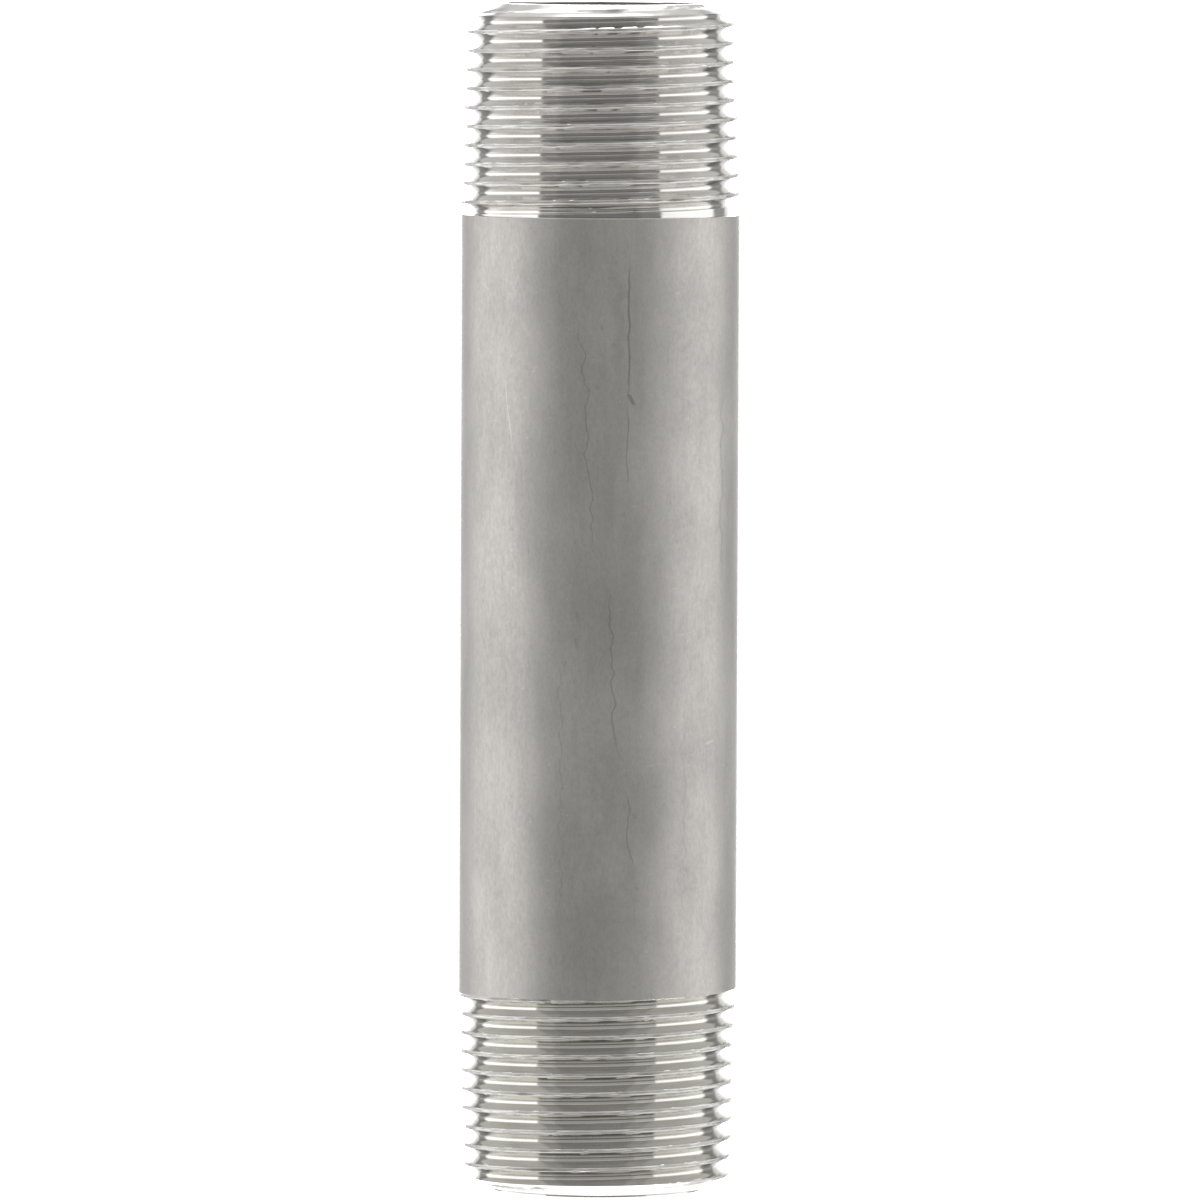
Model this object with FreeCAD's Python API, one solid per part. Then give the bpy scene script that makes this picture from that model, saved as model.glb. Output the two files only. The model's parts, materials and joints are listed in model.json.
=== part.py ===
import FreeCAD, Part
import math
import os

# A threaded pipe nipple: one length of heavy-wall 3/4 inch steel pipe with a tapered external pipe
# thread (3/4-14 NPT, right hand) cut on each end.
# Millimetres. Origin at the centre of the lower end face, +Z up along the pipe's axis.

# Driving dimensions of the pipe
LENGTH = 114.3              # 4 1/2 inch nipple
OUTER_DIAMETER = 26.67      # 3/4 inch nominal pipe
WALL = 3.91                 # schedule 80
END_FACE_RADIUS = 10.1      # outer edge of the flat ring left by the end chamfer
END_CHAMFER_ANGLE = 25.5    # degrees, between the chamfer and the end face
BARREL_START = 20.3         # depth from either end face at which the plain barrel begins

# Driving dimensions of the thread
THREADS_PER_INCH = 14
END_PITCH_DIAMETER = 24.579     # E0, at the end of the pipe
THREAD_HEIGHT_IN_PITCHES = 0.8
FLANK_ANGLE = 30.0              # degrees, half of the 60 degree form
TAPER = 1.0 / 16.0              # on diameter, per unit of length
CREST_RELIEF = 0.03             # how far the cutter leaves the widest crests under the barrel's radius

# Where each thread's groove lies. Depths are measured from the thread's own end face. The first root is
# the groove's first centre line at the side of the pipe that faces -Y. The lower groove fades out into
# the barrel at the back. The upper groove runs on past its shoulder, which stops it square.
UPPER_FIRST_ROOT = 1.49
UPPER_GROOVE_END = 21.6
LOWER_FIRST_ROOT = 1.96
LOWER_GROOVE_END = 19.4
VANISH_TURN = 0.35              # share of a turn over which a groove fades out

# The upper thread ends at a square shoulder, with a narrow plain land beside the last groove. The land
# starts along a slanting line, so that it follows the groove from the +X side round to the -X side.
LAND_RADIUS = 12.42
LAND_START_PLUS_X = 19.37
LAND_START_MINUS_X = 20.08
SHOULDER_DEPTH = BARREL_START

# Construction values
CUT_MARGIN = 0.03               # how far the cutting profile stands outside the crest
POINTS_PER_TURN = 36
FRONT = -90.0                   # direction of -Y, degrees from +X

INCH = 25.4
PITCH = INCH / THREADS_PER_INCH
OUTER_RADIUS = OUTER_DIAMETER / 2.0
BORE_RADIUS = OUTER_RADIUS - WALL
THREAD_HEIGHT = THREAD_HEIGHT_IN_PITCHES * PITCH
END_CREST_RADIUS = END_PITCH_DIAMETER / 2.0 + THREAD_HEIGHT / 2.0
END_ROOT_RADIUS = END_PITCH_DIAMETER / 2.0 - THREAD_HEIGHT / 2.0
CONE_SLOPE = TAPER / 2.0                                                     # on radius
CREST_CONE_LENGTH = (OUTER_RADIUS - CREST_RELIEF - END_CREST_RADIUS) / CONE_SLOPE
FLANK_TANGENT = math.tan(math.radians(FLANK_ANGLE))
ROOT_HALF_WIDTH = (PITCH / 2.0 - THREAD_HEIGHT * FLANK_TANGENT) / 2.0


def crest_radius(depth):
    """Radius of the thread's crest cone at a depth in from the end face."""
    return END_CREST_RADIUS + CONE_SLOPE * depth


def chamfer_meets_cone():
    """Depth and radius where the end chamfer reaches the crest cone."""
    rise = math.tan(math.radians(END_CHAMFER_ANGLE))
    depth = rise * (END_CREST_RADIUS - END_FACE_RADIUS) / (1.0 - rise * CONE_SLOPE)
    return depth, crest_radius(depth)


def pipe_blank():
    """The pipe before threading: bore, end chamfers, and ends turned down to the crest cone.

    Past the crest cone the widest crests rise very slightly until they reach the barrel.
    """
    chamfer_depth, chamfer_radius = chamfer_meets_cone()
    lower_end = [
        (BORE_RADIUS, 0.0),
        (END_FACE_RADIUS, 0.0),
        (chamfer_radius, chamfer_depth),
        (OUTER_RADIUS - CREST_RELIEF, CREST_CONE_LENGTH),
        (OUTER_RADIUS, BARREL_START),
    ]
    upper_end = [(radius, LENGTH - depth) for radius, depth in reversed(lower_end)]
    outline = lower_end + upper_end
    points = [FreeCAD.Vector(radius, 0.0, z) for radius, z in outline]
    section = Part.Face(Part.makePolygon(points + points[:1]))
    axis_point = FreeCAD.Vector(0.0, 0.0, 0.0)
    return section.revolve(axis_point, FreeCAD.Vector(0.0, 0.0, 1.0), 360.0)


def groove_rail(first_root, last_depth, side, outer, from_top):
    """One edge of the groove's cutting profile, as a list of curves of one turn or less.

    side is -1 or +1 for the flank, and outer picks the profile's open side rather than its root.
    The groove starts a turn outside the end face, runs in at full depth, and fades out at the barrel.
    """
    vanish_depth = last_depth - VANISH_TURN * PITCH
    start_depth = first_root - math.ceil(first_root / PITCH + 0.5) * PITCH
    hand = -1.0 if from_top else 1.0

    def point(depth):
        fade = max(0.0, depth - vanish_depth) / (last_depth - vanish_depth)
        lift = fade * fade * (OUTER_RADIUS + CUT_MARGIN - END_ROOT_RADIUS - CONE_SLOPE * last_depth)
        height = THREAD_HEIGHT + CUT_MARGIN if outer else 0.0
        half_width = ROOT_HALF_WIDTH + height * FLANK_TANGENT
        edge_depth = depth + hand * side * half_width
        radius = END_ROOT_RADIUS + CONE_SLOPE * edge_depth + height + lift
        turn = math.radians(FRONT) + hand * 2.0 * math.pi * (depth - first_root) / PITCH
        z = LENGTH - depth if from_top else depth
        return FreeCAD.Vector(radius * math.cos(turn), radius * math.sin(turn), z + side * half_width)

    breaks = [start_depth]
    while breaks[-1] + PITCH < vanish_depth:
        breaks.append(breaks[-1] + PITCH)
    breaks += [vanish_depth, last_depth]
    rail = []
    for low, high in zip(breaks[:-1], breaks[1:]):
        steps = max(8, round(POINTS_PER_TURN * (high - low) / PITCH))
        points = [point(low + (high - low) * step / steps) for step in range(steps + 1)]
        curve = Part.BSplineCurve()
        curve.interpolate(points)
        rail.append(curve.toShape())
    return rail


def groove_tool(first_root, last_depth, from_top):
    """The solid that cuts one thread's groove: ruled faces between the four edges of its profile."""
    corners = [(-1, False), (1, False), (1, True), (-1, True)]
    rails = [groove_rail(first_root, last_depth, side, outer, from_top) for side, outer in corners]
    faces = []
    for here, there in zip(rails, rails[1:] + rails[:1]):
        for edge, next_edge in zip(here, there):
            faces.append(Part.makeRuledSurface(edge, next_edge))
    for end in (0, -1):
        ring = [rail[end].valueAt(rail[end].FirstParameter if end == 0 else rail[end].LastParameter)
                for rail in rails]
        faces.append(Part.makeFilledFace(Part.makePolygon(ring + ring[:1]).Edges))
    shell = Part.makeShell(faces)
    shell.sewShape()
    tool = Part.makeSolid(shell)
    if tool.Volume < 0.0:
        tool.reverse()
    return tool


def shoulder_ring():
    """The ring of metal cut away between the upper thread and its square shoulder."""
    reach = OUTER_RADIUS + WALL
    slope = (LAND_START_MINUS_X - LAND_START_PLUS_X) / (2.0 * LAND_RADIUS)
    middle = (LAND_START_PLUS_X + LAND_START_MINUS_X) / 2.0
    side_view = [
        (-reach, SHOULDER_DEPTH),
        (reach, SHOULDER_DEPTH),
        (reach, middle - slope * reach),
        (-reach, middle + slope * reach),
    ]
    points = [FreeCAD.Vector(x, -reach, LENGTH - depth) for x, depth in side_view]
    wedge = Part.Face(Part.makePolygon(points + points[:1])).extrude(FreeCAD.Vector(0.0, 2.0 * reach, 0.0))
    core = Part.makeCylinder(LAND_RADIUS, LENGTH, FreeCAD.Vector(0.0, 0.0, 0.0))
    return wedge.cut(core)


def pipe_nipple():
    """The whole nipple, threaded at both ends."""
    lower_groove = groove_tool(LOWER_FIRST_ROOT, LOWER_GROOVE_END, False)
    upper_groove = groove_tool(UPPER_FIRST_ROOT, UPPER_GROOVE_END, True)
    below_shoulder = Part.makeCylinder(OUTER_RADIUS + WALL, LENGTH - SHOULDER_DEPTH)
    nipple = pipe_blank()
    for tool in (shoulder_ring(), lower_groove, upper_groove.cut(below_shoulder)):
        nipple = nipple.cut(tool)
    return nipple.Solids[0]


os.makedirs("parts", exist_ok=True)
pipe_nipple().exportStep("parts/pipe_nipple.step")
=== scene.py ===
import json
import math

import bmesh
import bpy
import numpy as np
from mathutils import Matrix, Vector, noise


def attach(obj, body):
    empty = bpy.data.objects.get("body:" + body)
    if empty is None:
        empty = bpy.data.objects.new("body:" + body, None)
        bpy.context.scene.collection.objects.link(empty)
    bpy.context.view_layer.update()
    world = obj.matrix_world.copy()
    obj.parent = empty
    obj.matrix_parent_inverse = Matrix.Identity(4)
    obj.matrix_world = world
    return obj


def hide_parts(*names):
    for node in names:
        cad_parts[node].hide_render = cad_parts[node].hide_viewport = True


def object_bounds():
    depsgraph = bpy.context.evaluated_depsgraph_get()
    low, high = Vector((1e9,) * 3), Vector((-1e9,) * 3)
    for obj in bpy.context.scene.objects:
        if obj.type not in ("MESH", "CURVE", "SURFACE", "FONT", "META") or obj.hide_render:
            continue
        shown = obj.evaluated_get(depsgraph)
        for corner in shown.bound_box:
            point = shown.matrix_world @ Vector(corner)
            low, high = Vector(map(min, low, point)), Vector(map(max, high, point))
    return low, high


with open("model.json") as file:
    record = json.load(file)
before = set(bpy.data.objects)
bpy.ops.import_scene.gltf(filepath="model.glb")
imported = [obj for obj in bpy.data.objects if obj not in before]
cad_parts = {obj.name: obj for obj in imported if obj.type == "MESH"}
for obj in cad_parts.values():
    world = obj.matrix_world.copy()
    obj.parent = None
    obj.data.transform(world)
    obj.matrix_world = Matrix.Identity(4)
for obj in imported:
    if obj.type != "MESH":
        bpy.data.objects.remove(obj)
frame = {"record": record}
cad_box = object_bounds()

# A threaded pipe nipple in dull mill-finish steel, with bright machined threads on both ends.
# The mesh is laid out in millimetres, in the CAD frame: z = 0 is the lower end face and +Z runs along the
# pipe. The camera stands on the -Y side. One closed surface covers the pipe, with its bore and end faces,
# and each thread on it is a radius that depends on the angle round the pipe and on the height.

MM = 0.001
mounts = {mount["name"]: mount for mount in frame["record"]["mounts"]}
LENGTH = (cad_box[1][2] - cad_box[0][2]) / MM
OUTER_RADIUS = mounts["barrel"]["dims"]["r_mm"]
BORE_RADIUS = mounts["through_bore"]["dims"]["r_mm"]

# The thread: 3/4-14 taper pipe thread
PITCH = 25.4 / 14.0
END_ROOT_RADIUS = 11.60         # bottom of the groove, carried out to the end face
CONE_SLOPE = 1.0 / 32.0         # on radius, per unit of length
THREAD_HEIGHT = 0.8 * PITCH
FLANK_TANGENT = math.tan(math.radians(30.0))
CREST_RELIEF = 0.03             # how far the widest crests lie under the barrel's radius
BARREL_START = 20.3             # depth from either end at which the plain barrel begins
FRONT = -0.5 * math.pi          # direction of the camera's side of the pipe

# The lower groove fades out before the barrel. The upper one runs on into its shoulder.
LOWER_FADE_START = 18.765       # 0.35 of a turn before the groove's end
LOWER_GROOVE_END = 19.4
FADE_LIMIT = 2.0                # the fade runs on to this past the end, with the groove clear of the pipe
NO_VANISH = 30.0                # deeper than either thread reaches

# The end chamfer, which starts at the edge of a flat ring on the end face
END_FACE_RADIUS = 10.1
CHAMFER_RISE = math.tan(math.radians(25.5))     # depth gained per mm of radius

# The upper thread's square shoulder and the narrow land beside its last groove
LAND_RADIUS = 12.42
LAND_START_PLUS_X = 19.37
LAND_START_MINUS_X = 20.08
SHOULDER_DEPTH = BARREL_START
LAND_EDGE = 0.05                # axial length of the step down to the land

# Mesh resolution
COLUMNS = 180                   # around the pipe
BARREL_ROWS = 24
BORE_ROWS = 8


class Thread:
    """One end's thread. Depths are in mm from its own end face, towards the barrel."""

    def __init__(self, at_top, first_root, band_depth, vanish_start, vanish_end, rim, seed):
        self.at_top = at_top
        self.first_root = first_root        # the groove's first centre line, at the front
        self.band_depth = band_depth        # where the threaded part of the surface ends
        self.vanish_start = vanish_start    # the groove fades out between this depth
        self.vanish_end = vanish_end        # and this one
        self.rim = rim                      # upright edge left between the end face and its chamfer
        self.seed = seed                    # sets this thread's wear apart from the other's

    def depth(self, z):
        return LENGTH - z if self.at_top else z

    def height(self, depth):
        return LENGTH - depth if self.at_top else depth

    def root_height(self):
        """Height of the groove's first centre line at the front."""
        return self.height(self.first_root)


UPPER = Thread(
    at_top=True,
    first_root=1.49,
    band_depth=SHOULDER_DEPTH,
    vanish_start=NO_VANISH,
    vanish_end=NO_VANISH + PITCH,
    rim=0.03,
    seed=3.0,
)
LOWER = Thread(
    at_top=False,
    first_root=1.96,
    band_depth=BARREL_START,
    vanish_start=LOWER_FADE_START,
    vanish_end=LOWER_GROOVE_END,
    rim=0.10,
    seed=11.0,
)


# ---------------------------------------------------------------------------------------------------
# The thread's form

ROOT_FLAT = 0.095               # half width of the flat at the bottom of the groove
ROOT_FILLET = 0.06              # radius between that flat and the flanks
FILLET_STEPS = 2
CREST_ROUND = 0.17              # half width of the rounded crest
CREST_BAND = 0.19               # half width of the dull strip along the crest
FLANK_STOPS = (0.3, 0.65)       # rows across a flank, as shares of the way from fillet to crest
FLANK_LEAN = math.radians(60.0)     # how far a flank is tilted out of the pipe's surface
FLANK_COSINE = 0.5              # cosine of that lean


def fillet_end():
    """Where the root's fillet meets the straight flank: distance from the groove's centre, and rise."""
    return ROOT_FLAT + ROOT_FILLET * math.sin(FLANK_LEAN), ROOT_FILLET * (1.0 - math.cos(FLANK_LEAN))


def half_profile_rows():
    """Distances from the groove's centre line at which the mesh has a row, up to the crest's middle."""
    end, _ = fillet_end()
    crest_edge = PITCH / 2.0 - CREST_ROUND
    rows = [0.0, ROOT_FLAT]
    for step in range(1, FILLET_STEPS + 1):
        rows.append(ROOT_FLAT + ROOT_FILLET * math.sin(FLANK_LEAN * step / FILLET_STEPS))
    rows += [end + (crest_edge - end) * stop for stop in FLANK_STOPS]
    rows += [PITCH / 2.0 - CREST_BAND, crest_edge, PITCH / 2.0 - 0.5 * CREST_ROUND, PITCH / 2.0]
    return rows


def profile_rise(s):
    """Height of the thread's surface above the root, at a distance s from the groove's centre line.

    From the middle of the groove outwards it is a flat, a fillet, a straight flank and a round crest.
    """
    s = np.abs(s)
    end, end_rise = fillet_end()
    within = np.clip((s - ROOT_FLAT) / ROOT_FILLET, 0.0, 1.0)
    fillet = ROOT_FILLET * (1.0 - np.sqrt(1.0 - within ** 2))
    flank = end_rise + (s - end) / FLANK_TANGENT
    curve = CREST_ROUND / math.sin(FLANK_LEAN)
    crest_edge = end_rise + (PITCH / 2.0 - CREST_ROUND - end) / FLANK_TANGENT
    centre = crest_edge - FLANK_COSINE * curve
    crest = centre + np.sqrt(curve ** 2 - np.clip(PITCH / 2.0 - s, 0.0, CREST_ROUND) ** 2)
    rise = np.where(s < ROOT_FLAT, 0.0, np.where(s < end, fillet, flank))
    return np.where(s > PITCH / 2.0 - CREST_ROUND, crest, rise)


def groove_position(thread, angle, z):
    """Signed distance from the nearest groove's centre line, and that groove's depth there."""
    centre = thread.root_height() + PITCH * (angle - FRONT) / (2.0 * math.pi)
    turns = np.round((z - centre) / PITCH)
    line = centre + turns * PITCH
    return z - line, thread.depth(line)


def thread_radius(thread, angle, z):
    """Radius of the threaded surface, before the pipe's own limits are applied."""
    s, line_depth = groove_position(thread, angle, z)
    fade = (line_depth - thread.vanish_start) / (thread.vanish_end - thread.vanish_start)
    rise = OUTER_RADIUS - END_ROOT_RADIUS - CONE_SLOPE * thread.vanish_end
    lift = np.clip(fade, 0.0, FADE_LIMIT) ** 2 * rise
    return END_ROOT_RADIUS + CONE_SLOPE * thread.depth(z) + profile_rise(s) + lift


def chamfer_radius(thread, depth):
    """Radius of the end chamfer at a depth. It starts behind the thread's short upright rim."""
    return END_FACE_RADIUS + np.maximum(0.0, depth - thread.rim) / CHAMFER_RISE


def land_start(angle):
    """Depth at which the narrow land beside the upper shoulder begins."""
    middle = (LAND_START_PLUS_X + LAND_START_MINUS_X) / 2.0
    swing = (LAND_START_PLUS_X - LAND_START_MINUS_X) / 2.0
    return middle + swing * np.cos(angle)


def blank_radius(depth):
    """Radius of the pipe's outside near its end, where the crests stay slightly under the barrel."""
    crest = END_ROOT_RADIUS + THREAD_HEIGHT
    cone_length = (OUTER_RADIUS - CREST_RELIEF - crest) / CONE_SLOPE
    share = np.clip((depth - cone_length) / (BARREL_START - cone_length), 0.0, 1.0)
    return OUTER_RADIUS - CREST_RELIEF * (1.0 - share)


def pipe_limit(thread, angle, z):
    """Radius of the pipe's own surface: end chamfer, outside, and the land beside the shoulder."""
    depth = thread.depth(z)
    limit = np.minimum(chamfer_radius(thread, depth), blank_radius(depth))
    if thread.at_top:
        down = np.clip((depth - land_start(angle)) / LAND_EDGE, 0.0, 1.0)
        limit = np.minimum(limit, OUTER_RADIUS + (LAND_RADIUS - OUTER_RADIUS) * down)
    return limit


# ---------------------------------------------------------------------------------------------------
# Mesh building

ON_LINE = 1e-6                  # points this close to a cutting line, in mm, count as lying on it
SAME_HEIGHT = 1e-7              # and heights this close count as equal


class Surface:
    """Points as (radius, angle, z) in mm and radians, with the faces that join them."""

    def __init__(self):
        self.angles = []
        self.heights = []
        self.radii = []
        self.faces = []

    def add(self, angle, z, radius=0.0):
        self.angles.append(angle)
        self.heights.append(z)
        self.radii.append(radius)
        return len(self.angles) - 1

    def arrays(self):
        return np.array(self.angles), np.array(self.heights)

    def cut(self, measure):
        """Splits every face along the line where measure(angles, heights) changes sign.

        A face that meets the line in more than two places is split into triangles first.
        """
        values = measure(*self.arrays())
        values = list(np.where(np.abs(values) < ON_LINE, 0.0, values))
        made = {}

        def crossing(a, b):
            """The new point where the line crosses the edge between two points."""
            key = (min(a, b), max(a, b))
            if key not in made:
                a, b = key
                share = values[a] / (values[a] - values[b])
                swing = self.angles[b] - self.angles[a]
                swing -= 2.0 * math.pi * round(swing / (2.0 * math.pi))
                z = self.heights[a] + share * (self.heights[b] - self.heights[a])
                made[key] = self.add(self.angles[a] + share * swing, z)
                values.append(0.0)
            return made[key]

        faces = []
        waiting = list(self.faces)
        while waiting:
            face = waiting.pop()
            signs = [values[index] for index in face]
            if min(signs) >= 0.0 or max(signs) <= 0.0:
                faces.append(face)
                continue
            crossings = sum(a * b < 0.0 for a, b in zip(signs, signs[1:] + signs[:1]))
            if signs.count(0.0) + crossings > 2 and len(face) > 3:
                waiting += [[face[0], face[step], face[step + 1]] for step in range(1, len(face) - 1)]
                continue
            above, below = [], []
            for here, there in zip(face, face[1:] + face[:1]):
                if values[here] >= 0.0:
                    above.append(here)
                if values[here] <= 0.0:
                    below.append(here)
                if values[here] * values[there] < 0.0:
                    middle = crossing(here, there)
                    above.append(middle)
                    below.append(middle)
            faces += [part for part in (above, below) if len(part) > 2]
        self.faces = faces

    def keep(self, measure):
        """Drops the faces that lie where measure(angles, heights) is negative."""
        values = measure(*self.arrays())
        self.faces = [face for face in self.faces if sum(values[index] for index in face) > 0.0]


def helical_band(thread, low, high):
    """A band round the pipe whose rows follow the groove, and which covers the heights low to high."""
    half = half_profile_rows()
    offsets = half[:-1] + [PITCH - s for s in half[:0:-1]]
    rows = len(offsets)
    band = Surface()
    index = {}

    def point(column, row):
        """The point in a column and a row. A turn further round, a row lies one whole profile higher."""
        if column == COLUMNS:
            column, row = 0, row + rows
        if (column, row) not in index:
            turn, step = divmod(row, rows)
            share = column / COLUMNS
            z = thread.root_height() + PITCH * (turn + share) + offsets[step]
            index[column, row] = band.add(FRONT + 2.0 * math.pi * share, z)
        return index[column, row]

    # A turn or two to spare at each end, because the rows climb by a turn's pitch on their way round
    first_turn = math.floor((low - thread.root_height()) / PITCH) - 2
    last_turn = math.ceil((high - thread.root_height()) / PITCH) + 1
    for row in range(first_turn * rows, last_turn * rows):
        for column in range(COLUMNS):
            face = [point(column, row), point(column + 1, row),
                    point(column + 1, row + 1), point(column, row + 1)]
            heights = [band.heights[corner] for corner in face]
            if max(heights) > low and min(heights) < high:
                band.faces.append(face)
    return band


def thread_surface(surface, thread):
    """Adds one thread, from its end face to the barrel.

    Returns the points on its end ring and on its barrel ring, each in order round the pipe.
    """
    low, high = sorted([thread.height(0.0), thread.height(thread.band_depth)])
    band = helical_band(thread, low, high)

    for level, side in ((low, 1.0), (high, -1.0)):
        def inward(angles, heights):
            return (heights - level) * side
        band.cut(inward)
        band.keep(inward)

    band.cut(lambda angles, heights: thread.depth(heights) - thread.rim)
    if thread.at_top:
        for offset in (0.0, LAND_EDGE):
            band.cut(lambda angles, heights: thread.depth(heights) - land_start(angles) - offset)

    def outside_pipe(angles, heights):
        return thread_radius(thread, angles, heights) - pipe_limit(thread, angles, heights)
    band.cut(outside_pipe)

    angles, heights = band.arrays()
    radii = np.minimum(thread_radius(thread, angles, heights), pipe_limit(thread, angles, heights))
    radii = radii - crest_wear(thread, angles, heights)
    used = sorted({corner for face in band.faces for corner in face})
    moved = {old: surface.add(band.angles[old], band.heights[old], radii[old]) for old in used}
    surface.faces += [[moved[corner] for corner in face] for face in band.faces]
    rings = []
    for depth in (0.0, thread.band_depth):
        level = thread.height(depth)
        ring = [moved[old] for old in used if abs(band.heights[old] - level) < SAME_HEIGHT]
        rings.append(sorted(ring, key=lambda corner: wrapped(surface.angles[corner])))
    return rings


# Wear along the crests. It varies round a middle level by noises, each with the size of its features in
# mm and its strength. The level and the strengths are shares of CREST_WEAR.
CREST_WEAR = 0.36
WEAR_LEVEL = 0.5
WEAR_NOISES = [(5.0, 0.7), (1.3, 0.6)]
SEED_STEP = 40.0                # distance in the noise between one seed and the next, in mm
UNWORN = 1.2                    # length of thread next to the barrel that has no wear


def crest_wear(thread, angles, heights):
    """How far each point on a crest has been worn or torn down, in mm. Zero away from the crests."""
    s, _ = groove_position(thread, angles, heights)
    from_crest = PITCH / 2.0 - np.abs(s)
    share = np.clip(1.0 - from_crest / CREST_BAND, 0.0, 1.0)
    share = np.where(thread.depth(heights) > BARREL_START - UNWORN, 0.0, share)
    wear = np.zeros(len(angles))
    for index in np.nonzero(share > 0.0)[0]:
        x = math.cos(angles[index]) * OUTER_RADIUS
        y = math.sin(angles[index]) * OUTER_RADIUS
        place = Vector((x, y, heights[index] + thread.seed * SEED_STEP))
        level = WEAR_LEVEL
        for size, strength in WEAR_NOISES:
            level += strength * noise.noise(place / size)
        wear[index] = max(0.0, CREST_WEAR * level)
    return wear * share


def wrapped(angle):
    return angle % (2.0 * math.pi)


def ring_at(surface, z, radius, angles=None):
    """Adds a ring of points and returns them in order round the pipe."""
    if angles is None:
        angles = [2.0 * math.pi * column / COLUMNS for column in range(COLUMNS)]
    return [surface.add(angle, z, radius) for angle in angles]


def join_rings(surface, outer, inner):
    """Fills between two closed rings with triangles, whatever number of points each has."""
    start = [wrapped(surface.angles[index]) for index in outer]
    other = [wrapped(surface.angles[index]) for index in inner]
    a, b = 0, 0
    while a < len(outer) or b < len(inner):
        next_a = start[a + 1] if a + 1 < len(outer) else start[0] + 2.0 * math.pi
        next_b = other[b + 1] if b + 1 < len(inner) else other[0] + 2.0 * math.pi
        here_a, here_b = outer[a % len(outer)], inner[b % len(inner)]
        if b >= len(inner) or (a < len(outer) and next_a <= next_b):
            surface.faces.append([here_a, outer[(a + 1) % len(outer)], here_b])
            a += 1
        else:
            surface.faces.append([here_a, inner[(b + 1) % len(inner)], here_b])
            b += 1


def stack_rings(surface, rings):
    """Joins rings that have the same points round the pipe with four-sided faces."""
    for lower, upper in zip(rings[:-1], rings[1:]):
        for here in range(len(lower)):
            there = (here + 1) % len(lower)
            surface.faces.append([lower[here], lower[there], upper[there], upper[here]])


CORNER = 0.09                   # radius of the worn edge on the barrel's square shoulder
CORNER_MIDDLE = 0.3 * CORNER    # how far in from both sides the middle of that edge lies
DEBURR = 0.12                   # size of the broken edge at each end of the bore


def nipple_surface():
    """The whole pipe: both threads, then the shoulder, the barrel and the bore between them."""
    surface = Surface()
    lower_end, lower_barrel = thread_surface(surface, LOWER)
    upper_end, upper_barrel = thread_surface(surface, UPPER)

    shoulder = LENGTH - SHOULDER_DEPTH
    angles = [surface.angles[index] for index in upper_barrel]
    wall = ring_at(surface, shoulder, OUTER_RADIUS - CORNER, angles)
    stack_rings(surface, [wall, upper_barrel])

    low = LOWER.band_depth
    heights = [low + (shoulder - CORNER - low) * row / BARREL_ROWS for row in range(1, BARREL_ROWS + 1)]
    barrel = [ring_at(surface, z, OUTER_RADIUS) for z in heights]
    barrel.append(ring_at(surface, shoulder - CORNER_MIDDLE, OUTER_RADIUS - CORNER_MIDDLE))
    stack_rings(surface, barrel)
    join_rings(surface, lower_barrel, barrel[0])
    join_rings(surface, barrel[-1], wall)

    depth = LENGTH - 2.0 * DEBURR
    heights = [DEBURR + depth * row / BORE_ROWS for row in range(BORE_ROWS + 1)]
    lower_mouth = ring_at(surface, 0.0, BORE_RADIUS + DEBURR)
    upper_mouth = ring_at(surface, LENGTH, BORE_RADIUS + DEBURR)
    bore = [ring_at(surface, z, BORE_RADIUS) for z in heights]
    stack_rings(surface, [lower_mouth] + bore + [upper_mouth])
    join_rings(surface, lower_end, lower_mouth)
    join_rings(surface, upper_end, upper_mouth)
    return surface


MILL, THREAD, ROOT, CREST, CHAMFER, BORE = range(6)

# What tells the finishes apart: distances in mm, and how far a face looks along the pipe, from 0 to 1
BORE_SLACK = 0.01               # faces of the bore lie inside its radius and this
BORE_FACING = 0.5               # and look along the pipe less than this
BARREL_SLACK = 0.012            # faces of the barrel lie outside its radius less this
SHOULDER_SLACK = 0.03           # or deeper than its start and this
CHAMFER_REACH = 2.0             # no chamfer goes deeper than this
CHAMFER_FACING = 0.885          # a chamfer looks along the pipe more than this, and a flank less
SHARP_ANGLE = math.radians(28.0)        # edges at least this sharp aren't smoothed over


def finish_of(face):
    """Which of the six finishes a face has."""
    centre = face.calc_center_median() / MM
    radius = math.hypot(centre.x, centre.y)
    depth = min(centre.z, LENGTH - centre.z)
    facing = abs(face.normal.z)
    if radius < BORE_RADIUS + BORE_SLACK and facing < BORE_FACING:
        return BORE
    if radius > OUTER_RADIUS - BARREL_SLACK or depth > BARREL_START + SHOULDER_SLACK:
        return MILL
    if depth < CHAMFER_REACH and facing > CHAMFER_FACING:
        return CHAMFER
    thread = UPPER if centre.z > 0.5 * LENGTH else LOWER
    if thread.at_top and depth > LAND_START_PLUS_X:
        return THREAD
    s, _ = groove_position(thread, math.atan2(centre.y, centre.x), centre.z)
    if abs(s) < ROOT_FLAT:
        return ROOT
    return CREST if abs(s) > PITCH / 2.0 - CREST_BAND else THREAD


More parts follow.
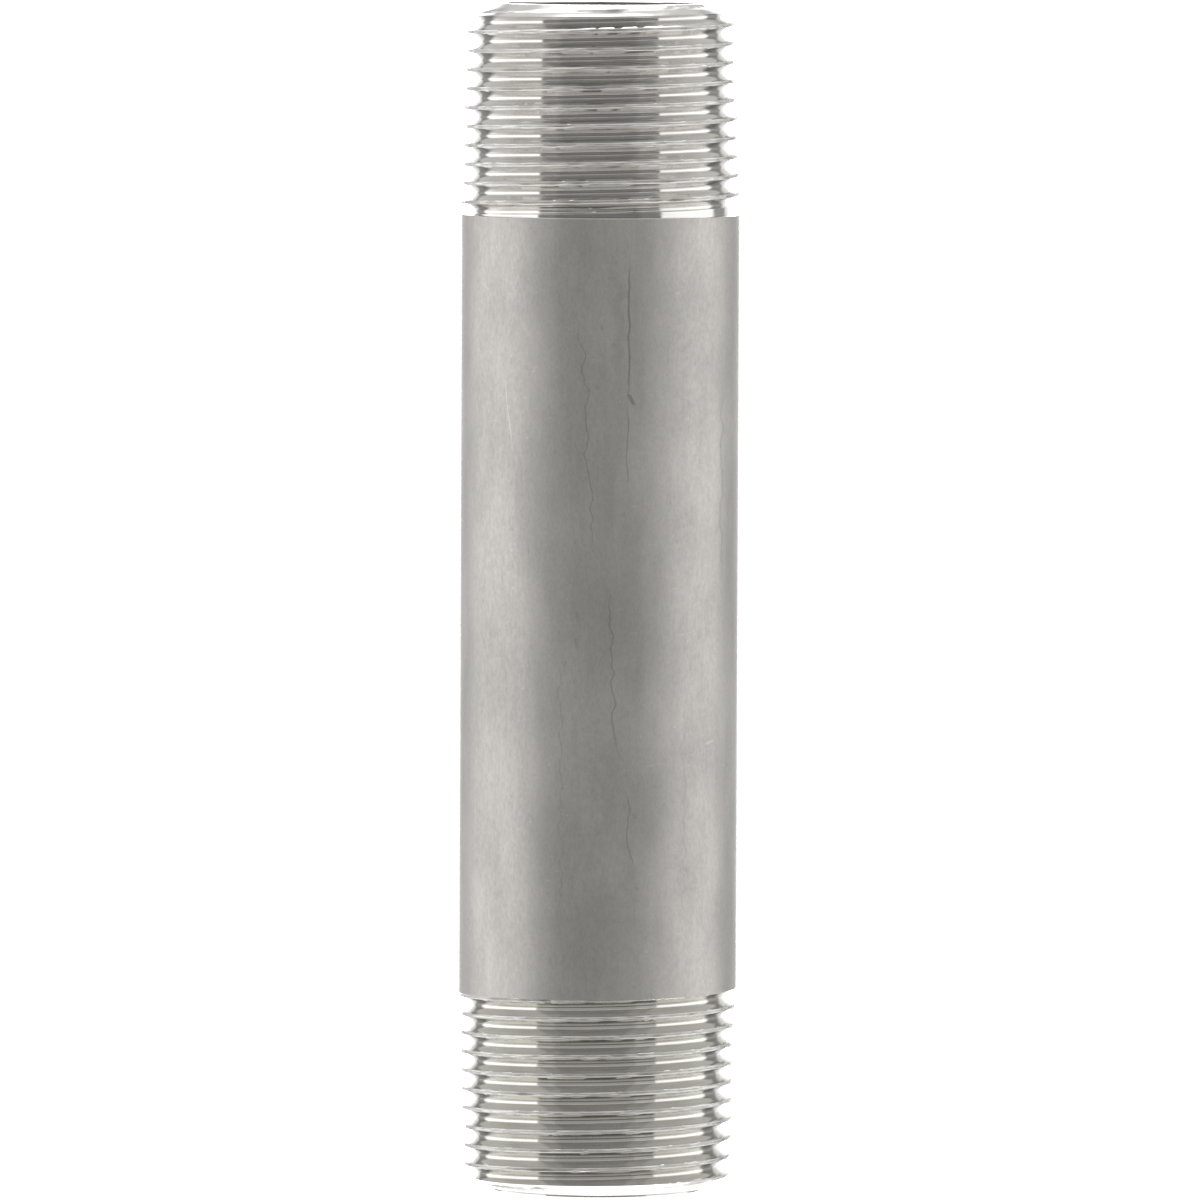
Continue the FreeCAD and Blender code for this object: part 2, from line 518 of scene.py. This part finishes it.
def build_nipple(surface, materials):
    """Turns the surface into one closed mesh in metres, with a material for each kind of finish."""
    radii = np.array(surface.radii)
    angles, heights = surface.arrays()
    points = np.stack([radii * np.cos(angles), radii * np.sin(angles), heights], axis=1) * MM
    mesh = bpy.data.meshes.new("nipple")
    mesh.from_pydata(points.tolist(), [], surface.faces)
    shape = bmesh.new()
    shape.from_mesh(mesh)
    loose = [vertex for vertex in shape.verts if not vertex.link_faces]
    bmesh.ops.delete(shape, geom=loose, context="VERTS")
    bmesh.ops.recalc_face_normals(shape, faces=shape.faces)
    for face in shape.faces:
        face.smooth = True
        face.material_index = finish_of(face)
    for edge in shape.edges:
        at_root = len({face.material_index == ROOT for face in edge.link_faces}) == 2
        edge.smooth = edge.calc_face_angle(0.0) < SHARP_ANGLE and not at_root
    shape.to_mesh(mesh)
    shape.free()
    for material in materials:
        mesh.materials.append(material)
    piece = bpy.data.objects.new("nipple_body", mesh)
    bpy.context.scene.collection.objects.link(piece)
    weighted = piece.modifiers.new("flat_flanks", "WEIGHTED_NORMAL")
    weighted.keep_sharp = True
    weighted.weight = 50
    return piece


# ---------------------------------------------------------------------------------------------------
# Materials

# Darkest and lightest colour of each finish. The roots and the chamfers share the upper thread's.
MILL_COLORS = [(0.502, 0.485, 0.463), (0.592, 0.571, 0.545)]
UPPER_THREAD_COLORS = [(0.74, 0.725, 0.70), (0.79, 0.775, 0.75)]
LOWER_THREAD_COLORS = [(0.70, 0.69, 0.655), (0.755, 0.745, 0.705)]
CREST_COLORS = [(0.68, 0.67, 0.65), (0.81, 0.80, 0.775)]
BORE_COLORS = [(0.24, 0.23, 0.225), (0.36, 0.35, 0.34)]

# Least and greatest roughness of each finish
MILL_ROUGHNESS = (0.44, 0.52)
THREAD_ROUGHNESS = (0.05, 0.13)
ROOT_ROUGHNESS = (0.03, 0.07)
CREST_ROUGHNESS = (0.32, 0.48)
CHAMFER_ROUGHNESS = (0.12, 0.24)
BORE_ROUGHNESS = (0.45, 0.6)

NOISE_SPAN = (0.3, 0.7)         # most of a noise's values lie between these two
CLOUD_SPAN = (0.35, 0.65)       # a narrower span, for a patchier look
LOWER_TO_UPPER = (0.04, 0.07)   # heights in metres between which one thread's look gives way to the other's
TOOL_MARKS = (0.0000045, 0.000008)      # depth in metres of the marks on the lower and the upper thread

# Inputs and output of the Mix node when it mixes colours
FIRST_COLOR, SECOND_COLOR, MIXED_COLOR = 6, 7, 2

# How a mark on the barrel wanders and ends
SWAY_LENGTH = 3.0               # mm along the pipe from one bend to the next, about
SWAY_SPAN = (0.2, 0.8)          # noise values that stand for the furthest it wanders either way
SEAM_FADE = 0.25                # share of its length over which each end fades
SIDE_FADE = 1.0                 # mm before the pipe's middle plane over which it fades


class Finish:
    """One metal finish. Its colour, roughness and fine relief come from shader nodes in object space."""

    def __init__(self, name):
        self.material = bpy.data.materials.new(name)
        self.material.use_nodes = True
        self.tree = self.material.node_tree
        self.shader = self.tree.nodes["Principled BSDF"]
        self.shader.inputs["Metallic"].default_value = 1.0
        self.place = self.node("TexCoord").outputs["Object"]
        split = self.node("SeparateXYZ", {0: self.place})
        self.x, self.y, self.z = split.outputs
        self.angle = self.math("ARCTAN2", self.y, self.x)

    def feed(self, socket, value):
        if isinstance(value, bpy.types.NodeSocket):
            self.tree.links.new(value, socket)
        else:
            socket.default_value = value

    def node(self, kind, inputs=None, **settings):
        made = self.tree.nodes.new("ShaderNode" + kind)
        for name, value in settings.items():
            setattr(made, name, value)
        for key, value in (inputs or {}).items():
            self.feed(made.inputs[key], value)
        return made

    def math(self, operation, first, second=0.0):
        return self.node("Math", {0: first, 1: second}, operation=operation).outputs[0]

    def between(self, value, start, end, low=0.0, high=1.0):
        """Carries value from the range start..end to the range low..high, with soft ends."""
        inputs = {"Value": value, "From Min": start, "From Max": end, "To Min": low, "To Max": high}
        return self.node("MapRange", inputs, interpolation_type="SMOOTHSTEP").outputs[0]

    def noise(self, size, stretch=(1.0, 1.0, 1.0), detail=3.0, place=None):
        """Noise whose features are about size metres across, times stretch along each axis."""
        scale = tuple(1.0 / (size * share) for share in stretch)
        vector = self.node("VectorMath", {0: place or self.place, 1: scale}, operation="MULTIPLY")
        inputs = {"Vector": vector.outputs[0], "Scale": 1.0, "Detail": detail}
        return self.node("TexNoise", inputs).outputs["Fac"]

    def along_cut(self, size, reach):
        """Noise drawn out round the pipe, like the marks a tool leaves as the pipe turns."""
        x_squared = self.math("MULTIPLY", self.x, self.x)
        y_squared = self.math("MULTIPLY", self.y, self.y)
        radius = self.math("SQRT", self.math("ADD", x_squared, y_squared))
        run = self.math("MULTIPLY", self.math("SINE", self.angle), OUTER_RADIUS * MM)
        place = self.node("CombineXYZ", {0: run, 1: radius, 2: self.z}).outputs[0]
        return self.noise(size, stretch=(reach, 1.0, 1.0), detail=2.0, place=place)

    def blend(self, factor, first, second):
        """Mixes two colours, which may come from other nodes."""
        inputs = {0: factor, FIRST_COLOR: first, SECOND_COLOR: second}
        return self.node("Mix", inputs, data_type="RGBA").outputs[MIXED_COLOR]

    def tint(self, factor, first, second):
        """Mixes two fixed colours."""
        return self.blend(factor, (*first, 1.0), (*second, 1.0))

    def shade(self, color, factor, amount):
        """Multiplies a colour by a value that goes from 1 to amount as factor goes from 0 to 1."""
        level = self.between(factor, 0.0, 1.0, 1.0, amount)
        return self.node("VectorMath", {0: color, 3: level}, operation="SCALE").outputs[0]

    def relief(self, height, depth, below=None):
        """A bump of the given depth in metres, laid over another one."""
        inputs = {"Height": height, "Strength": 1.0, "Distance": depth}
        if below is not None:
            inputs["Normal"] = below
        return self.node("Bump", inputs).outputs[0]

    def seam(self, x, low, high, half_width, wander, lean):
        """A thin mark that runs up the camera's side of the barrel, with its sizes in mm.

        It is 1 in its middle and 0 off it.
        """
        middle = 0.5 * (low + high) * MM
        offset = self.math("MULTIPLY", self.z, 1.0 / (SWAY_LENGTH * MM))
        inputs = {"W": self.math("ADD", offset, x), "Scale": 1.0, "Detail": 2.0}
        sway = self.node("TexNoise", inputs, noise_dimensions="1D").outputs["Fac"]
        sway = self.between(sway, *SWAY_SPAN, -wander * MM, wander * MM)
        tilt = self.math("MULTIPLY", self.math("SUBTRACT", self.z, middle), lean)
        centre = self.math("ADD", self.math("ADD", sway, tilt), x * MM)
        distance = self.math("ABSOLUTE", self.math("SUBTRACT", self.x, centre))
        line = self.between(distance, 0.0, half_width * MM, 1.0, 0.0)
        soft = SEAM_FADE * (high - low) * MM
        start = self.between(self.z, low * MM, low * MM + soft)
        end = self.between(self.z, high * MM - soft, high * MM, 1.0, 0.0)
        near = self.between(self.y, -SIDE_FADE * MM, 0.0, 1.0, 0.0)
        run = self.math("MULTIPLY", start, end)
        return self.math("MULTIPLY", self.math("MULTIPLY", line, run), near)

    def finished(self, color, roughness, bump=None):
        """Gives the material its colour, roughness and relief, and returns it."""
        self.feed(self.shader.inputs["Base Color"], color)
        self.feed(self.shader.inputs["Roughness"], roughness)
        if bump is not None:
            self.feed(self.shader.inputs["Normal"], bump)
        return self.material


# Marks on the barrel, seen from the camera's side, in mm: x, lowest and highest point, half width, how
# far it wanders, how it leans, and how strong it is
DARK_SEAMS = [
    (2.75, 75.5, 91.0, 0.17, 0.12, 0.0, 0.8),
    (3.00, 76.0, 77.4, 0.35, 0.0, -0.5, 0.8),
    (2.65, 67.5, 77.0, 0.12, 0.10, 0.0, 0.6),
    (1.7, 78.0, 90.0, 0.90, 0.5, 0.0, 0.2),
    (-1.2, 59.0, 87.0, 0.11, 0.40, -0.055, 0.5),
    (1.3, 41.0, 60.0, 0.15, 0.30, -0.05, 0.55),
    (2.9, 31.0, 40.0, 0.11, 0.22, -0.06, 0.6),
    (-3.6, 22.0, 56.0, 0.12, 0.35, 0.0, 0.3),
    (8.2, 24.0, 50.0, 0.14, 0.30, 0.0, 0.2),
    (11.7, 56.0, 80.0, 0.20, 0.15, 0.0, 0.3),
]
BRIGHT_SCRATCHES = [
    (-8.75, 71.0, 79.5, 0.10, 0.05, -0.11, 0.8),
    (10.6, 43.4, 43.9, 0.55, 0.0, 1.6, 0.8),
    (8.0, 54.0, 54.3, 0.7, 0.0, 2.0, 0.35),
    (5.0, 41.5, 41.8, 0.5, 0.0, 2.0, 0.4),
]
SEAM_CHANGE = -0.42             # what a seam of strength 1 does to the steel's brightness, as a share of it
SCRATCH_CHANGE = 0.28           # and what a scratch does


def mill_finish():
    """The barrel: dull satin steel, faintly mottled and drawn out along the pipe, with marks on it."""
    finish = Finish("mill_finish")
    cloud = finish.noise(size=0.0055, stretch=(1.0, 1.0, 2.0), detail=5.0)
    drawn = finish.noise(size=0.0012, stretch=(1.0, 1.0, 9.0), detail=3.0)
    grain = finish.noise(size=0.00022, stretch=(1.0, 1.0, 1.6), detail=2.0)
    pits = finish.noise(size=0.0009, stretch=(1.0, 1.0, 1.3), detail=1.0)
    flecks = finish.noise(size=0.0006, stretch=(2.2, 1.0, 0.6), detail=1.0)
    rough = finish.noise(size=0.00035, stretch=(1.0, 1.0, 2.0), detail=2.0)
    swell = finish.noise(size=0.006, stretch=(1.0, 1.0, 2.5), detail=1.0)

    color = finish.tint(finish.between(cloud, *NOISE_SPAN), *MILL_COLORS)
    color = finish.shade(color, finish.between(drawn, start=0.25, end=0.8), amount=0.96)
    color = finish.shade(color, finish.between(grain, start=0.3, end=0.75), amount=0.93)
    color = finish.shade(color, finish.between(pits, start=0.72, end=0.80), amount=0.90)
    color = finish.shade(color, finish.between(flecks, start=0.70, end=0.80), amount=1.12)
    for marks, change in ((DARK_SEAMS, SEAM_CHANGE), (BRIGHT_SCRATCHES, SCRATCH_CHANGE)):
        for *place, strength in marks:
            color = finish.shade(color, finish.seam(*place), amount=1.0 + change * strength)

    bump = finish.relief(swell, depth=0.000012)
    bump = finish.relief(drawn, depth=0.000007, below=bump)
    bump = finish.relief(grain, depth=0.000003, below=bump)
    return finish.finished(color, finish.between(rough, *NOISE_SPAN, *MILL_ROUGHNESS), bump)


def machined_finish():
    """The threads: bright cut steel with fine marks running along the cut."""
    finish = Finish("machined_thread")
    stain = finish.between(finish.noise(size=0.0045, stretch=(1.0, 1.0, 0.6), detail=3.0), *NOISE_SPAN)
    cut = finish.along_cut(size=0.00020, reach=30.0)
    speck = finish.noise(size=0.0006, detail=1.0)
    rough = finish.along_cut(size=0.0003, reach=20.0)

    upper = finish.tint(stain, *UPPER_THREAD_COLORS)
    lower = finish.tint(stain, *LOWER_THREAD_COLORS)
    color = finish.blend(finish.between(finish.z, *LOWER_TO_UPPER), lower, upper)
    color = finish.shade(color, finish.between(cut, start=0.35, end=0.75), amount=0.93)
    color = finish.shade(color, finish.between(speck, start=0.76, end=0.82), amount=0.75)
    bump = finish.relief(cut, finish.between(finish.z, *LOWER_TO_UPPER, *TOOL_MARKS))
    return finish.finished(color, finish.between(rough, *NOISE_SPAN, *THREAD_ROUGHNESS), bump)


def root_finish():
    """The bottom of the thread's groove, burnished smooth by the tip of the cutter."""
    finish = Finish("burnished_root")
    stain = finish.noise(size=0.004, stretch=(1.0, 1.0, 0.6), detail=3.0)
    color = finish.tint(finish.between(stain, *NOISE_SPAN), *UPPER_THREAD_COLORS)
    rough = finish.along_cut(size=0.0003, reach=20.0)
    return finish.finished(color, finish.between(rough, *NOISE_SPAN, *ROOT_ROUGHNESS))


def crest_finish():
    """The crests: torn and rubbed dull as the thread was cut and handled."""
    finish = Finish("torn_crest")
    tear = finish.noise(size=0.0012, stretch=(1.0, 1.0, 0.5), detail=3.0)
    color = finish.tint(finish.between(tear, *NOISE_SPAN), *CREST_COLORS)
    bump = finish.relief(tear, depth=0.00002)
    return finish.finished(color, finish.between(tear, *NOISE_SPAN, *CREST_ROUGHNESS), bump)


def chamfer_finish():
    """The end chamfers and end faces: turned steel, a little duller and cloudier than the threads."""
    finish = Finish("turned_chamfer")
    cloud = finish.noise(size=0.003, detail=3.0)
    turning = finish.along_cut(size=0.00012, reach=60.0)
    color = finish.tint(finish.between(cloud, *NOISE_SPAN), *UPPER_THREAD_COLORS)
    color = finish.shade(color, finish.between(turning, start=0.35, end=0.75), amount=0.9)
    bump = finish.relief(turning, depth=0.000003)
    return finish.finished(color, finish.between(cloud, *CLOUD_SPAN, *CHAMFER_ROUGHNESS), bump)


def bore_finish():
    """The bore: dark, dull scale."""
    finish = Finish("bore_scale")
    cloud = finish.noise(size=0.003, stretch=(1.0, 1.0, 2.0), detail=4.0)
    grain = finish.noise(size=0.0003, detail=2.0)
    color = finish.tint(finish.between(cloud, *NOISE_SPAN), *BORE_COLORS)
    bump = finish.relief(grain, depth=0.00001)
    return finish.finished(color, finish.between(cloud, *NOISE_SPAN, *BORE_ROUGHNESS), bump)


# In the order of the finishes' numbers above
finishes = [mill_finish(), machined_finish(), root_finish(), crest_finish(), chamfer_finish(), bore_finish()]
nipple = build_nipple(nipple_surface(), finishes)
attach(nipple, "root")
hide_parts("pipe_nipple")


# ---------------------------------------------------------------------------------------------------
# Floor, light and camera

WHITE = (1.0, 1.0, 1.0, 1.0)
FLOOR_REACH = 0.08
FLOOR_SIDES = 96
FLOOR_COLOR = (0.9, 0.9, 0.9, 1.0)
FLOOR_ROUGHNESS = 0.9
FLOOR_GLOW = 0.8                # keeps the floor white close to the pipe
BACKDROP_LIGHT = 1.05           # what the camera sees behind the pipe, just past white


def add_floor():
    """A round white floor under the pipe, which the steel doesn't reflect."""
    mesh = bpy.data.meshes.new("floor")
    turns = [2 * math.pi * side / FLOOR_SIDES for side in range(FLOOR_SIDES)]
    points = [(FLOOR_REACH * math.cos(turn), FLOOR_REACH * math.sin(turn), 0.0) for turn in turns]
    mesh.from_pydata(points, [], [list(range(FLOOR_SIDES))])
    floor = bpy.data.objects.new("floor", mesh)
    bpy.context.scene.collection.objects.link(floor)
    material = bpy.data.materials.new("floor_white")
    material.use_nodes = True
    shader = material.node_tree.nodes["Principled BSDF"]
    shader.inputs["Base Color"].default_value = FLOOR_COLOR
    shader.inputs["Roughness"].default_value = FLOOR_ROUGHNESS
    shader.inputs["Emission Color"].default_value = WHITE
    shader.inputs["Emission Strength"].default_value = FLOOR_GLOW
    mesh.materials.append(material)
    floor.visible_glossy = False


# The studio's light, as the pipe reflects it. Each part of it is a pair of lists. One goes round the
# studio, by bearing in degrees from the camera's side towards +X, and the other goes up, by the sine of
# the angle above the horizon. The values they give in a direction are multiplied.

# The light from all round is brightest behind the pipe
SIDES = [(-180, 2.3), (-168, 2.2), (-150, 1.65), (-112, 1.60), (-95, 1.4), (-60, 1.4), (54, 1.2), (85, 1.35),
         (115, 1.6), (150, 1.65), (168, 2.2), (180, 2.3)]
HEIGHTS = [(-1.0, 1.0), (0.22, 1.0), (0.38, 0.52), (0.70, 0.52), (0.79, 1.3), (1.0, 1.3)]

# Dips take a share of that light away. Each side has a dark gap, and a fainter dip from there to the back.
GAPS = [(-180, 0.0), (-175, 0.0), (-168, 0.42), (-154, 0.42), (-149, 0.78), (-135, 0.78), (-127, 0.0),
        (117, 0.0), (124, 0.78), (144, 0.78), (150, 0.42), (168, 0.42), (175, 0.0), (180, 0.0)]
GAP_HEIGHTS = [(-1.0, 0.0), (-0.25, 0.0), (-0.20, 1.0), (0.42, 1.0), (0.5, 0.0), (1.0, 0.0)]
# The floor is duller than the panels above it, except straight behind the pipe
DULL_FLOOR = [(-180, 0.0), (-174, 0.0), (-168, 0.5), (168, 0.5), (174, 0.0), (180, 0.0)]
FLOOR_HEIGHTS = [(-1.0, 1.0), (-0.24, 1.0), (-0.17, 0.0), (1.0, 0.0)]
# The background is duller in a strip above the bright part
DULL_BACK = [(-180, 0.32), (-150, 0.32), (-142, 0.0), (142, 0.0), (150, 0.32), (180, 0.32)]
DULL_BACK_HEIGHTS = [(-1.0, 0.0), (0.30, 0.0), (0.36, 1.0), (0.70, 1.0), (0.75, 0.0), (1.0, 0.0)]
DIPS = [(GAPS, GAP_HEIGHTS), (DULL_FLOOR, FLOOR_HEIGHTS), (DULL_BACK, DULL_BACK_HEIGHTS)]

# Glows add to it. Straight behind the pipe the background is brighter still.
GLARE = [(-180, 9.0), (-174, 9.0), (-169, 0.0), (169, 0.0), (174, 9.0), (180, 9.0)]
GLARE_HEIGHTS = [(-1.0, 0.0), (-0.28, 0.0), (-0.2, 1.0), (0.16, 1.0), (0.22, 0.0), (1.0, 0.0)]
# Light comes up from the floor behind the pipe
BACK_GLOW = [(-180, 8.0), (-125, 8.0), (-112, 0.0), (112, 0.0), (125, 8.0), (180, 8.0)]
BACK_GLOW_HEIGHTS = [(-1.0, 1.0), (-0.90, 1.0), (-0.82, 0.0), (1.0, 0.0)]
GLOWS = [(GLARE, GLARE_HEIGHTS), (BACK_GLOW, BACK_GLOW_HEIGHTS)]

# The dim part of the studio behind the camera takes the place of all these: where it lies, how it
# brightens towards its sides, and how its light changes with height
FRONT_PART = [(-180, 0.0), (-59, 0.0), (-57, 1.0), (55, 1.0), (57, 0.0), (180, 0.0)]
FRONT_SHARE = [(-180, 1.33), (-43, 1.33), (-39, 1.0), (34, 1.0), (38, 1.33), (180, 1.33)]
FRONT_HEIGHTS = [(-1.0, 0.45), (-0.35, 0.27), (-0.19, 0.24), (-0.15, 0.37), (-0.12, 0.37), (-0.08, 0.185),
                 (0.08, 0.185), (0.13, 0.72), (0.30, 0.73), (0.45, 0.64), (1.0, 0.6)]


def level_ramp(nodes, stops, low, high):
    """A ramp of grey levels, and the brightest of them, which the ramp's colours are divided by."""
    ramp = nodes.new("ShaderNodeValToRGB")
    brightest = max(level for _, level in stops)
    elements = ramp.color_ramp.elements
    elements[0].position, elements[-1].position = 0.0, 1.0
    for place, _ in stops[1:-1]:
        elements.new((place - low) / (high - low))
    marks = sorted(elements, key=lambda element: element.position)
    for (_, level), mark in zip(stops, marks):
        mark.color = (level / brightest,) * 3 + (1.0,)
    return ramp, brightest


def add_world():
    """Light from all round, and a plain white backdrop."""
    world = bpy.data.worlds.new("studio")
    bpy.context.scene.world = world
    world.use_nodes = True
    nodes, links = world.node_tree.nodes, world.node_tree.links
    nodes.clear()

    def value(operation, first, second):
        made = nodes.new("ShaderNodeMath")
        made.operation = operation
        for socket, source in zip(made.inputs, (first, second)):
            if isinstance(source, bpy.types.NodeSocket):
                links.new(source, socket)
            else:
                socket.default_value = source
        return made.outputs[0]

    split = nodes.new("ShaderNodeSeparateXYZ")
    links.new(nodes.new("ShaderNodeTexCoord").outputs["Generated"], split.inputs[0])
    bearing = value("ARCTAN2", split.outputs["X"], value("MULTIPLY", split.outputs["Y"], -1.0))
    around = value("ADD", value("DIVIDE", bearing, 2.0 * math.pi), 0.5)
    upward = value("ADD", value("MULTIPLY", split.outputs["Z"], 0.5), 0.5)

    def looked_up(stops, at):
        """The level that a list of stops gives at a place, by bearing in degrees or by height."""
        low, high = stops[0][0], stops[-1][0]
        ramp, brightest = level_ramp(nodes, stops, low, high)
        links.new(at, ramp.inputs["Fac"])
        return value("MULTIPLY", ramp.outputs["Color"], brightest)

    def lit(bearings, heights):
        """The value that a list of bearings and a list of heights give together."""
        return value("MULTIPLY", looked_up(bearings, around), looked_up(heights, upward))

    far = lit(SIDES, HEIGHTS)
    for bearings, heights in DIPS:
        far = value("MULTIPLY", far, value("SUBTRACT", 1.0, lit(bearings, heights)))
    for bearings, heights in GLOWS:
        far = value("ADD", far, lit(bearings, heights))
    part = looked_up(FRONT_PART, around)
    front = value("MULTIPLY", lit(FRONT_SHARE, FRONT_HEIGHTS), part)
    far = value("MULTIPLY", far, value("SUBTRACT", 1.0, part))
    light = nodes.new("ShaderNodeBackground")
    light.inputs["Color"].default_value = WHITE
    links.new(value("ADD", front, far), light.inputs["Strength"])
    backdrop = nodes.new("ShaderNodeBackground")
    backdrop.inputs["Color"].default_value = WHITE
    backdrop.inputs["Strength"].default_value = BACKDROP_LIGHT
    path = nodes.new("ShaderNodeLightPath")
    mix = nodes.new("ShaderNodeMixShader")
    out = nodes.new("ShaderNodeOutputWorld")
    links.new(path.outputs["Is Camera Ray"], mix.inputs["Fac"])
    links.new(light.outputs[0], mix.inputs[1])
    links.new(backdrop.outputs[0], mix.inputs[2])
    links.new(mix.outputs[0], out.inputs["Surface"])


CAMERA_DISTANCE = 1.657         # metres
CAMERA_DOWN = math.radians(3.22)
CAMERA_ROLL = math.radians(0.237)
AIM = Vector((0.0000886, 0.0, 0.05681))
IMAGE_WIDTH = 1200.0            # pixels
PIXELS_PER_MM = 10.383
SENSOR = 36.0                   # mm
CLIP_END = 10.0                 # metres


def add_camera():
    """The camera, which looks at the pipe from the front and slightly from above."""
    data = bpy.data.cameras.new("camera")
    data.sensor_width = SENSOR
    data.lens = PIXELS_PER_MM / MM * CAMERA_DISTANCE / IMAGE_WIDTH * SENSOR
    data.clip_end = CLIP_END
    camera = bpy.data.objects.new("camera", data)
    bpy.context.scene.collection.objects.link(camera)
    away = Vector((0.0, -math.cos(CAMERA_DOWN), math.sin(CAMERA_DOWN)))
    facing = (-away).to_track_quat("-Z", "Y").to_matrix().to_4x4()
    roll = Matrix.Rotation(CAMERA_ROLL, 4, "Z")
    camera.matrix_world = Matrix.Translation(AIM + away * CAMERA_DISTANCE) @ facing @ roll
    bpy.context.scene.camera = camera


add_floor()
add_world()
add_camera()
bpy.context.scene.view_settings.view_transform = "Standard"
